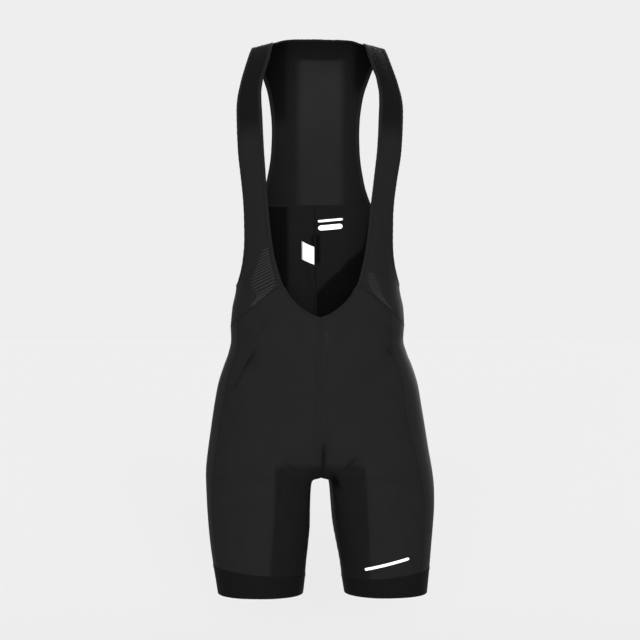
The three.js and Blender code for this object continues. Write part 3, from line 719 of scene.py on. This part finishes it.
def patch(name, side, back, centre, size, tilt, height, crown=0):
    """A thin mark or rib with round ends that lies on the front or the back of the cloth."""
    wide, high = size
    v = np.linspace(-1, 1, 9)[:, None]
    u = np.linspace(-1, 1, max(int(wide / 1.5), 9))[None, :]
    half = wide / 2 - high / 2 + high / 2 * np.sqrt(np.maximum(1 - v ** 2, 0))
    across_x, up_z = u * half, v * high / 2 + 0 * u
    turn = math.radians(tilt)
    x = centre[0] + across_x * math.cos(turn) - up_z * math.sin(turn)
    z = centre[1] + across_x * math.sin(turn) + up_z * math.cos(turn)
    level = level_of(z)
    angle = (1 if back else -1) * angle_at(side * (x - form["sway"](level)), level)
    top = height + crown * (1 - v ** 2) + 0 * u
    points = [lifted(side, angle, level, top), lifted(side, angle, level, height - MARK + 0 * u)]
    rows, cols = angle.shape
    index = np.arange(rows * cols).reshape(rows, cols)
    quads = np.stack([index[:-1, :-1], index[:-1, 1:], index[1:, 1:], index[1:, :-1]], axis=-1)
    quads = quads.reshape(-1, 4)
    border = np.concatenate([index[0], index[1:, -1], index[-1, -2::-1], index[-2:0:-1, 0]])
    after = np.roll(border, -1)
    rim = np.stack([border, after, after + rows * cols, border + rows * cols], axis=-1)
    faces = np.concatenate([quads, quads[:, ::-1] + rows * cols, rim])
    uv = np.stack([across_x, up_z], axis=-1).reshape(-1, 2)
    points = np.concatenate([p.reshape(-1, 3) for p in points])
    return facing_out(mesh_object(name, points, faces, np.concatenate([uv, uv])))


# Panels of cloth, as coarse rows of spots
def front_columns(half):
    halves = np.linspace(0, NECK_CORNER[1], STRIPS["front_neck"] + 1)
    neck = -angle_at(halves, level_of(neck_z(halves)))
    seam = np.linspace(corner_angle, half["side_front"], STRIPS["front_seam"] + 1)[1:]
    heights = np.concatenate([neck_z(halves), bib_seam_z(seam)])
    return np.concatenate([neck, seam]), heights


def panel_rows(half, first, last, shares, top_z=None):
    """Rows from the leg band to a top edge; first and last give a row's end angles."""
    def row(level):
        return mix(first(level), last(level), shares)

    leg_level = level_of(half["band_top"])
    bottom = level_of(band_top_z(half, row(leg_level)))
    levels = [moved_up(half["side"], row(bottom), bottom, SEAM_GAP / 2)]
    levels += [np.full(len(shares), level_of(z)) for z in PANEL_ROWS]
    if top_z is not None:
        levels += [level_of(mix(PANEL_ROWS[-1], top_z, f)) for f in TOP_FRACTIONS]
    level = np.array(levels)
    return row(level), level


def trimmed(side, angle, level, first=True, last=True, bottom=0.0, top=SEAM_GAP / 2):
    """The same rows, half a seam gap inside their edges."""
    angle, level = angle.copy(), level.copy()
    level[-1] = moved_up(side, angle[-1], level[-1], -top)
    level[0] = moved_up(side, angle[0], level[0], bottom)
    if first:
        angle[:, 0] = moved_back(side, angle[:, 0], level[:, 0], SEAM_GAP / 2)
    if last:
        angle[:, -1] = moved_back(side, angle[:, -1], level[:, -1], -SEAM_GAP / 2)
    return angle, level


def front_panel(half):
    angles, heights = front_columns(half)
    shares = (angles + 90) / (half["side_front"] + 90)
    angle, level = panel_rows(
        half, lambda at: -spread_angle(at), lambda at: half["side_front"], shares, heights)
    angle[:, 0] = -closing_angle(level[:, 0])
    return trimmed(half["side"], angle, level, top=SLANT_GAP)


def side_panel(half):
    shares = np.linspace(0, 1, STRIPS["side"] + 1)
    heights = bib_seam_z(mix(half["side_front"], SIDE_SEAM, shares))
    angle, level = panel_rows(
        half, lambda at: half["side_front"], lambda at: SIDE_SEAM + 0 * at, shares, heights)
    return trimmed(half["side"], angle, level, top=SLANT_GAP)


def seat_panel(half):
    shares = np.linspace(0, 1, STRIPS["seat"] + 1)
    angle, level = panel_rows(half, lambda at: SIDE_SEAM, spread_angle, shares)
    angle[:, -1] = closing_angle(level[:, -1])
    top_angle = float(angle_at(back_half(BACK_SEAM_Z), level_of(BACK_SEAM_Z)))
    for arm_z, arm_angle, back_z in [*SEAT_TOP_ROWS, (BACK_SEAM_Z, top_angle, BACK_SEAM_Z)]:
        angle = np.vstack([angle, mix(arm_angle, 90, shares)])
        level = np.vstack([level, level_of(mix(arm_z, back_z, shares))])
    return trimmed(half["side"], angle, level)


def bib_front(half):
    seam = np.linspace(corner_angle, half["side_front"], STRIPS["front_seam"] + 1)
    side = np.linspace(half["side_front"], SIDE_SEAM, STRIPS["side"] + 1)[1:]
    angles = np.concatenate([seam, side])
    shares = (angles - corner_angle) / (SIDE_SEAM - corner_angle)
    arm_z, _, low_neck_z = BIB_FRONT_ROWS[0]
    bends = bib_seam_z(angles) - mix(low_neck_z, arm_z, shares)
    rows = []
    for r, (arm_z, arm_angle, row_neck_z) in enumerate(BIB_FRONT_ROWS):
        fade = max(0, 1 - r / SEAM_FADE_ROWS) ** 2
        heights = mix(row_neck_z, arm_z, shares) + fade * bends
        rows.append((mix(neck_angle(row_neck_z), arm_angle, shares), level_of(heights)))
    for z in STRAP_ROWS:
        row = mix(neck_angle(z), strap_angle(z), shares)
        rows.append((row, np.full(len(shares), level_of(z))))
    angle, level = (np.array(part) for part in zip(*rows))
    angle, level = trimmed(half["side"], angle, level, False, False, SLANT_GAP)
    sewn = 4 # rows that end at the side seam
    angle[:sewn, -1] = moved_back(
        half["side"], angle[:sewn, -1], level[:sewn, -1], -SEAM_GAP / 2)
    return angle, level


def bib_back():
    """The mesh back in one piece: sides, angles and levels of its fine rows."""
    top_half = BACK_OUTER[-1][1]
    places = np.linspace(-1, 1, 61)
    places = np.sort(np.concatenate([places, [-0.988, -0.996, 0.988, 0.996]]))
    side = np.where(places < 0, -1, 1)
    heights = np.where(abs(places) * top_half >= BACK_NECK[-1][1], 0,
                       back_neck_z(abs(places) * top_half))
    low = level_of(BACK_SEAM_Z + SEAM_GAP / 2)
    shares = np.linspace(0, 1, 91) ** 1.02
    shares = np.sort(np.concatenate([shares, [0.0015, 0.004, 0.9985, 0.996]]))
    top = moved_up(side, angle_at(abs(places) * top_half, level_of(heights)),
                   level_of(heights), -SEAM_GAP / 2)
    level = mix(low, top[None, :], shares[:, None])
    half = abs(places)[None, :] * back_half(form["z"](level))
    return np.broadcast_to(side, level.shape), angle_at(half, level), level


def leg_band(half):
    leg_level = level_of(half["band_top"])
    angles, _ = front_columns(half)
    shares = (angles + 90) / (half["side_front"] + 90)
    front = mix(-spread_angle(leg_level), half["side_front"], shares)
    side = np.linspace(half["side_front"], SIDE_SEAM, STRIPS["side"] + 1)[1:]
    seat = np.linspace(SIDE_SEAM, 180, STRIPS["seat"] + 1)[1:]
    angle = np.concatenate([front, side, seat])
    top = level_of(band_top_z(half, angle))
    top = moved_up(half["side"], angle, top, -SEAM_GAP / 2)
    shares = np.array([0, 0.33, 0.66, 1])[:, None]
    return np.broadcast_to(angle, (4, len(angle))).copy(), mix(level_of(HEM_Z), top[None], shares)


def care_label(layer):
    """One layer of the label: its spots and how far it is lifted off the cloth."""
    seated = (KNIT + LABEL) / 2 + SEAM_GAP + 0.9 * layer
    u = np.linspace(0, 1, 15)[None, :]
    v = np.linspace(0, 1, 21)[:, None]
    z = LABEL_TOP_Z - LABEL_HEIGHT + (LABEL_HEIGHT - 1.5 * layer) * v + LABEL_TILT * u
    level = level_of(z)
    angle = angle_at(1 + (LABEL_WIDTH - 2.5 * layer) * u, level)
    curl = 0.6 * np.sin(np.pi * v) * u
    return angle, level, -(seated + LABEL_LIFT * u ** 2 + curl)


# Materials
def new_material(name):
    material = bpy.data.materials.new(name)
    material.use_nodes = True
    tree = material.node_tree
    tree.nodes.clear()
    output = tree.nodes.new("ShaderNodeOutputMaterial")
    shader = tree.nodes.new("ShaderNodeBsdfPrincipled")
    tree.links.new(shader.outputs["BSDF"], output.inputs["Surface"])
    return material, tree, shader


def add_node(tree, kind, inputs=None, **settings):
    """A node with settings, whose inputs are given by name or number as values or sockets."""
    made = tree.nodes.new("ShaderNode" + kind)
    for key, value in settings.items():
        setattr(made, key, value)
    for key, value in (inputs or {}).items():
        if isinstance(value, bpy.types.NodeSocket):
            tree.links.new(value, made.inputs[key])
        else:
            made.inputs[key].default_value = value
    return made


def calculate(tree, operation, a, b=0.0):
    return add_node(tree, "Math", {0: a, 1: b}, operation=operation).outputs[0]


def waves(tree, value, pitch):
    """A rounded ridge, 0 to 1, repeated at a pitch in metres along a value in metres."""
    turned = calculate(tree, "MULTIPLY", value, 2 * math.pi / pitch)
    return calculate(tree, "MULTIPLY_ADD", calculate(tree, "COSINE", turned), 0.5)


def cloth_material(name, colour, roughness, sheen, specular, pattern):
    """Black stretch cloth. pattern makes its knit from the cloth's own coordinates in metres."""
    material, tree, shader = new_material(name)
    place = add_node(tree, "UVMap", uv_map="cloth").outputs[0]
    apart = add_node(tree, "SeparateXYZ", {0: place})
    height, shade = pattern(tree, apart.outputs[0], apart.outputs[1])
    cloud = add_node(tree, "TexNoise", {"Vector": place, "Scale": 22.0, "Detail": 3.0}).outputs[0]
    patchy = add_node(tree, "MapRange", {0: cloud, 3: 0.86, 4: 1.14}).outputs[0]
    tone = add_node(tree, "Attribute", attribute_name="tone").outputs["Fac"]
    share = calculate(tree, "MULTIPLY", calculate(tree, "MULTIPLY", patchy, shade), tone)
    shaded = add_node(tree, "VectorMath", {0: colour, "Scale": share}, operation="SCALE")
    tree.links.new(shaded.outputs[0], shader.inputs["Base Color"])
    rough = add_node(tree, "MapRange", {0: cloud, 3: roughness - 0.05, 4: roughness + 0.05})
    tree.links.new(rough.outputs[0], shader.inputs["Roughness"])
    bump = add_node(tree, "Bump", {"Strength": 0.6, "Distance": 0.0004, "Height": height})
    tree.links.new(bump.outputs[0], shader.inputs["Normal"])
    shader.inputs["Specular IOR Level"].default_value = specular
    shader.inputs["Sheen Weight"].default_value = sheen
    shader.inputs["Sheen Roughness"].default_value = 0.35
    return material


def scaled(tree, value, low, high):
    """A value from 0 to 1 as one from low to high."""
    return add_node(tree, "MapRange", {0: value, 3: low, 4: high}).outputs[0]


def jersey(tree, u, v):
    """Fine knit: columns of small slanted stitches."""
    wale = waves(tree, u, 0.0012)
    slant = calculate(tree, "MULTIPLY", wale, 0.0005)
    course = waves(tree, calculate(tree, "ADD", v, slant), 0.0010)
    stitch = calculate(tree, "MULTIPLY", wale, course)
    return stitch, scaled(tree, stitch, 0.9, 1.3)


def ribbed(tree, u, v):
    """Knit with narrow upright ribs."""
    rib = waves(tree, u, 0.0026)
    course = waves(tree, v, 0.0011)
    return calculate(tree, "MULTIPLY_ADD", course, 0.2), scaled(tree, rib, 0.8, 1.2)


def netting(tree, u, v):
    """Light mesh: staggered rows of small holes in a fine knit."""
    across = scaled(tree, waves(tree, u, 0.0042), -1, 1)
    upright = scaled(tree, waves(tree, v, 0.0036), -1, 1)
    hole = add_node(tree, "MapRange", {0: calculate(tree, "MULTIPLY", across, upright),
                                       1: 0.35, 2: 0.8}).outputs[0]
    stitch = waves(tree, v, 0.0009)
    height = calculate(tree, "SUBTRACT", calculate(tree, "MULTIPLY", stitch, 0.3), hole)
    return height, scaled(tree, hole, 1.06, 0.68)


knit = cloth_material("knit", KNIT_COLOUR, 0.62, 0.003, 0.01, jersey)
side_knit = cloth_material("side_knit", SIDE_COLOUR, 0.55, 0.003, 0.008, ribbed)
mesh_knit = cloth_material("mesh_knit", MESH_COLOUR, 0.62, 0.004, 0.014, netting)
binding_knit = cloth_material("binding", BINDING_COLOUR, 0.6, 0.004, 0.014, jersey)
rib_knit = cloth_material("rib_knit", RIB_COLOUR, 0.55, 0.005, 0.02, jersey)
band_knit = cloth_material("leg_band", BAND_COLOUR, 0.65, 0.002, 0.01, ribbed)


def label_material(name, colour):
    material, tree, shader = new_material(name)
    place = add_node(tree, "UVMap", uv_map="cloth").outputs[0]
    apart = add_node(tree, "SeparateXYZ", {0: place})
    weave = calculate(tree, "MULTIPLY", waves(tree, apart.outputs[0], 0.0005),
                      waves(tree, apart.outputs[1], 0.0005))
    shade = add_node(tree, "Mix", {0: weave, 6: [c * 0.94 for c in colour] + [1],
                                   7: [*colour, 1]}, data_type="RGBA")
    tree.links.new(shade.outputs[2], shader.inputs["Base Color"])
    bump = add_node(tree, "Bump", {"Strength": 0.4, "Distance": 0.0001, "Height": weave})
    tree.links.new(bump.outputs[0], shader.inputs["Normal"])
    shader.inputs["Roughness"].default_value = 0.6
    return material


label_white = label_material("label_white", LABEL_WHITE)
label_grey = label_material("label_grey", LABEL_GREY)


def place(obj, material, slot):
    obj.data.materials.append(material)
    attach(obj, "root")
    return obj


cloths = {}
for half_name, half in HALVES.items():
    for piece, rows, thickness in [("front", front_panel, KNIT), ("side", side_panel, KNIT),
                                   ("seat", seat_panel, KNIT), ("bib_front", bib_front, MESH_KNIT)]:
        fine = refine(half["side"], *rows(half), GRID_STEPS[piece])
        if piece == "front":
            angle, level = fine
            centred = form["z"](level[:, 0]) >= CROTCH_Z + 4
            angle[centred, 0] = -angle_at(SEAM_GAP / 2, level[centred, 0])
        closed_above = CROTCH_Z if piece == "front" else math.inf
        cloths[f"{piece}_{half_name}"] = Cloth(
            half["side"], *fine, thickness, closed_above=closed_above)
    angle, level = refine(half["side"], *leg_band(half), GRID_STEPS["leg_band"], ring=True)
    cloths[f"leg_band_{half_name}"] = Cloth(half["side"], angle[:, :-1], level[:, :-1], BAND, True)
cloths["bib_back"] = Cloth(*bib_back(), MESH_KNIT)
trims = {node: [] for node in cloths}


def kind_of(node):
    return node.removesuffix("_left").removesuffix("_right")


# Painted light and shade of the cloth: how light each zone of it is painted
def eased(value, start, end):
    share = np.clip((value - start) / (end - start), 0, 1)
    return share * share * (3 - 2 * share)


def plain_tone(cloth, x, z, inside):
    return np.ones_like(x)


def inner_leg_painted_shade(cloth, x, z, inside):
    """Painted shade, darker towards the inseam of a leg."""
    width = np.interp(z, [-880, -800, -700], INNER_LEG[cloth.side])
    inseam = np.maximum(form["inner"](cloth.level), FORM[CROTCH - 2][2]) + width
    near = eased(-abs(x - form["sway"](cloth.level)), -inseam - 3, -inseam + 3)
    return 1 - (1 - INNER_LEG_PAINTED_SHADE) * near * eased(-z, 684, 696)


def seat_painted_shade(cloth, x, z, inside):
    """As the legs, and painted shade inside the back of the shorts, with darker painted shadows towards
    its sides and beside the label.
    """
    if not inside:
        return inner_leg_painted_shade(cloth, x, z, inside)
    left_shadow = eased(-x, 46, 56)
    right_shadow = eased(x - np.interp(z, *columns(INSIDE_SHADE)), -5, 5)
    label_shadow = eased(x, -14, -8) * eased(-x, -7, -1) * eased(z, -362, -352) * eased(-z, 300, 312)
    return INSIDE_PAINTED_SHADE * (1 - 0.68 * np.maximum.reduce([left_shadow, right_shadow, label_shadow]))


def strap_painted_shade(cloth, x, z, inside):
    """Painted shade, darker over the shoulder."""
    return 1 - (1 - SHOULDER_PAINTED_SHADE) * eased(z, -168, -122)


def back_painted_light_and_shade(cloth, x, z, inside):
    """Painted light on a lighter middle, and painted shade on darker sides towards the shoulders."""
    middle = eased(x, -42, -24) * eased(-x, -52, -34) * eased(-z, 6, 12)
    shaded_sides = np.maximum(eased(-x, 46, 62) * eased(z, -130, -95), eased(x, 54, 70) * eased(z, -75, -45))
    lit = 1.13 + 0.28 * eased(z, -180, -60)
    return BACK_PAINTED_SHADE + (lit - BACK_PAINTED_SHADE) * middle - 0.35 * shaded_sides


TONES = {
    "front": inner_leg_painted_shade,
    "side": plain_tone,
    "seat": seat_painted_shade,
    "leg_band": plain_tone,
    "bib_front": strap_painted_shade,
    "bib_back": back_painted_light_and_shade,
}
LOOKS = {
    "front": (knit, "knit"),
    "side": (side_knit, "side_knit"),
    "seat": (knit, "knit"),
    "leg_band": (band_knit, "leg_band"),
    "bib_front": (mesh_knit, "mesh_knit"),
    "bib_back": (mesh_knit, "mesh_knit"),
}
for node, cloth in cloths.items():
    kind = kind_of(node)
    material, slot = LOOKS[kind]
    x, z = cloth.point[..., 0], cloth.point[..., 2]
    # Painted shade in the creases, darker where they are deeper
    crease = fold_depth(cloth.point, form["middle"](cloth.level), CREASES)
    shade = 1 - CREASE_SHADE * np.clip(crease, -0.6, 1.6)
    tone = np.stack([shade * TONES[kind](cloth, x, z, inside) for inside in (False, True)])
    place(shell(f"cloth_{node}", cloth, tone), material, slot)
    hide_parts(node)

for layer, material in enumerate([label_grey, label_white]):
    angle, level, lift = care_label(layer)
    cloth = Cloth(-1, angle, level, LABEL, lift=lift)
    place(shell(f"label_layer_{layer + 1}", cloth), material, "label")
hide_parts("care_label")


# Bindings, seams and their stitches
def profile_of_seam(thickness):
    half, top = SEAM_WIDTH / 2, thickness / 2
    upper = [(-half, top - 0.15), (-0.6 * half, top + 0.8 * SEAM_PROUD), (0, top + SEAM_PROUD),
             (0.6 * half, top + 0.8 * SEAM_PROUD), (half, top - 0.15)]
    return upper + [(distance, -height) for distance, height in reversed(upper)]


def profile_of_inner_tape(thickness):
    """A tape inside the cloth, with a core that fills the butted edges up to the outer face."""
    half, top = SEAM_WIDTH / 2, thickness / 2
    core = [(-0.45, 0.2 - top), (-0.45, 0.72 * top), (0, 0.92 * top), (0.45, 0.72 * top),
            (0.45, 0.2 - top)]
    lower = [(half, 0.1 - top), (0.6 * half, -top - SEAM_PROUD), (0, -top - SEAM_PROUD),
             (-0.6 * half, -top - SEAM_PROUD), (-half, 0.1 - top)]
    return core + lower


def profile_of_binding(thickness):
    top = thickness / 2
    upper = [(BINDING_WIDTH, top - 0.1), (BINDING_WIDTH - 0.5, top + 0.9 * BINDING_PROUD),
             (BINDING_WIDTH / 2, top + BINDING_PROUD), (0.3, top + BINDING_PROUD),
             (-0.6 * BINDING_ROUND, 0.6 * top + 0.5 * BINDING_PROUD), (-BINDING_ROUND, 0)]
    return upper + [(distance, -height) for distance, height in reversed(upper[:-1])]


def above_crotch(angle, z):
    return z >= CROTCH_Z + 1.5


def below_crotch(angle, z):
    return z <= CROTCH_Z


def over_armhole(angle, z):
    return z >= -398


def under_armhole(angle, z):
    return z <= -398


def beside_neck(angle, z):
    return angle <= corner_angle + 0.01


def between_straps(angle, z):
    return half_at(angle, level_of(z)) <= BACK_NECK[-1][1] + 0.5


seams = {
    "centre_back": ("seat_left", [Edge(cloths["seat_left"], "last", above_crotch)], KNIT),
    "back": ("bib_back", [Edge(cloths["bib_back"], "bottom")], MESH_KNIT),
}
bindings = {"back_neck": ("bib_back", [Edge(cloths["bib_back"], "top", between_straps)])}
for half_name in HALVES:
    front, seat, side, bib, band = (
        cloths[f"{piece}_{half_name}"] for piece in ("front", "seat", "side", "bib_front", "leg_band"))
    back_edge = "last" if half_name == "left" else "first"
    owners = {piece: f"{piece}_{half_name}" for piece in ("front", "side", "bib_front", "leg_band")}
    seams[f"inseam_{half_name}"] = (owners["front"], [Edge(front, "first", below_crotch)], KNIT)
    seams[f"side_front_{half_name}"] = (owners["side"], [Edge(side, "first")], KNIT)
    seams[f"side_back_{half_name}"] = (
        owners["side"], [Edge(side, "last"), Edge(bib, "last", under_armhole)], KNIT)
    seams[f"bib_{half_name}"] = (owners["bib_front"], [Edge(bib, "bottom")], MESH_KNIT)
    seams[f"shoulder_{half_name}"] = (owners["bib_front"], [Edge(bib, "top")], MESH_KNIT)
    seams[f"band_{half_name}"] = (owners["leg_band"], [Edge(band, "top")], BAND)
    bindings[f"neck_{half_name}"] = (
        owners["bib_front"], [Edge(front, "top", beside_neck), Edge(bib, "first")])
    bindings[f"arm_{half_name}"] = (owners["bib_front"], [
        Edge(bib, "last", over_armhole, backwards=True),
        Edge(seat, "first", over_armhole),
        Edge(cloths["bib_back"], back_edge),
    ])

tape = strip("tape_centre_front", [Edge(cloths["front_left"], "first", above_crotch)],
             profile_of_inner_tape(KNIT))
trims["front_left"].append(place(tape, knit, "knit"))
for node, column in (("front_left", 0), ("seat_left", -1)):
    under = strip(f"tape_under_{node}", [Underside(cloths[node], column)], profile_of_inner_tape(KNIT))
    trims[node].append(place(under, knit, "knit"))
thread_rows = []
for name, (owner, edges, thickness) in seams.items():
    ring = name.startswith("band")
    tone = next(t for start, t in SEAM_TONES.items() if name.startswith(start))
    seam = strip(f"seam_{name}", edges, profile_of_seam(thickness), ring, tone)
    place(seam, band_knit if ring else knit, "leg_band" if ring else "knit")
    trims[owner].append(seam)
    for distance in (-0.36 * SEAM_WIDTH, 0.36 * SEAM_WIDTH):
        height = thickness / 2 + SEAM_PROUD
        thread_rows.append(stitch_rows(edges, distance, height, ring))
        if name in ("centre_back", "back"):
            point, far, out = stitch_rows(edges, distance, -height, ring)
            thread_rows.append((point, far, -out))
for name, (owner, edges) in bindings.items():
    binding = strip(f"binding_{name}", edges, profile_of_binding(MESH_KNIT))
    trims[owner].append(place(binding, binding_knit, "mesh_knit"))
    height = MESH_KNIT / 2 + BINDING_PROUD
    thread_rows.append(stitch_rows(edges, BINDING_WIDTH - 1.3, height))
trims["bib_back"].append(place(stitches("threads", thread_rows), knit, "knit"))

for side, tilt, field in RIB_FIELDS:
    z, x_from, x_to = columns(field)
    heights = np.arange(z[0], z[-1], -RIB_PITCH)
    for number, height in enumerate(heights):
        ends = [float(np.interp(-height, -z, x)) for x in (x_from, x_to)]
        centre = (sum(ends) / 2, height)
        size = ((ends[1] - ends[0]) / math.cos(math.radians(tilt)), RIB_WIDTH)
        half_name = "left" if side > 0 else "right"
        rib = patch(f"rib_{half_name}_{number + 1}", side, False, centre, size, tilt,
                    MESH_KNIT / 2 + RIB_LIFT, RIB_CROWN)
        trims[f"bib_front_{half_name}"].append(place(rib, rib_knit, "mesh_knit"))

bar = patch("leg_bar", 1, False, *LEG_BAR, KNIT / 2 + MARK + 0.03)
trims["front_left"].append(place(bar, label_white, "label"))
for number, mark in enumerate(BACK_MARKS):
    mark_piece = patch(f"back_mark_{number + 1}", 1, True, *mark, -(KNIT / 2 + 0.03))
    trims["seat_left"].append(place(mark_piece, label_white, "label"))


# Floor, light and camera
def make_stage():
    size = FLOOR_SIZE / 2
    corners = [(x, y, FLOOR_Z) for x, y in ((-size, -size), (size, -size), (size, size), (-size, size))]
    floor = mesh_object("floor", corners, [(0, 1, 2, 3)])
    material, _, shader = new_material("floor")
    shader.inputs["Base Color"].default_value = (FLOOR_COLOUR,) * 3 + (1,)
    shader.inputs["Roughness"].default_value = 1
    shader.inputs["Specular IOR Level"].default_value = 0
    floor.data.materials.append(material)


def make_lights():
    world = bpy.data.worlds.new("studio")
    world.use_nodes = True
    world.node_tree.nodes["Background"].inputs[0].default_value = (BACKGROUND,) * 3 + (1,)
    bpy.context.scene.world = world
    for name, (direction, strength, spread) in LIGHTS.items():
        lamp = bpy.data.lights.new(name, "SUN")
        lamp.energy = strength
        lamp.angle = math.radians(spread)
        light = bpy.data.objects.new(name, lamp)
        light.rotation_euler = Vector(direction).to_track_quat("-Z", "Y").to_euler()
        bpy.context.scene.collection.objects.link(light)


def make_camera():
    data = bpy.data.cameras.new("camera")
    data.sensor_width = 36
    data.lens = 36 * CAMERA_DISTANCE / FRAME_WIDTH
    camera = bpy.data.objects.new("camera", data)
    azimuth = math.radians(CAMERA_AZIMUTH)
    ahead = Vector((math.sin(azimuth), math.cos(azimuth), 0))
    camera.location = -ahead * CAMERA_DISTANCE * MM + Vector((0, 0, CAMERA_HEIGHT * MM))
    camera.rotation_euler = ahead.to_track_quat("-Z", "Y").to_euler()
    bpy.context.scene.collection.objects.link(camera)
    bpy.context.scene.camera = camera


make_stage()
make_lights()
make_camera()
bpy.context.scene.view_settings.view_transform = "Standard"
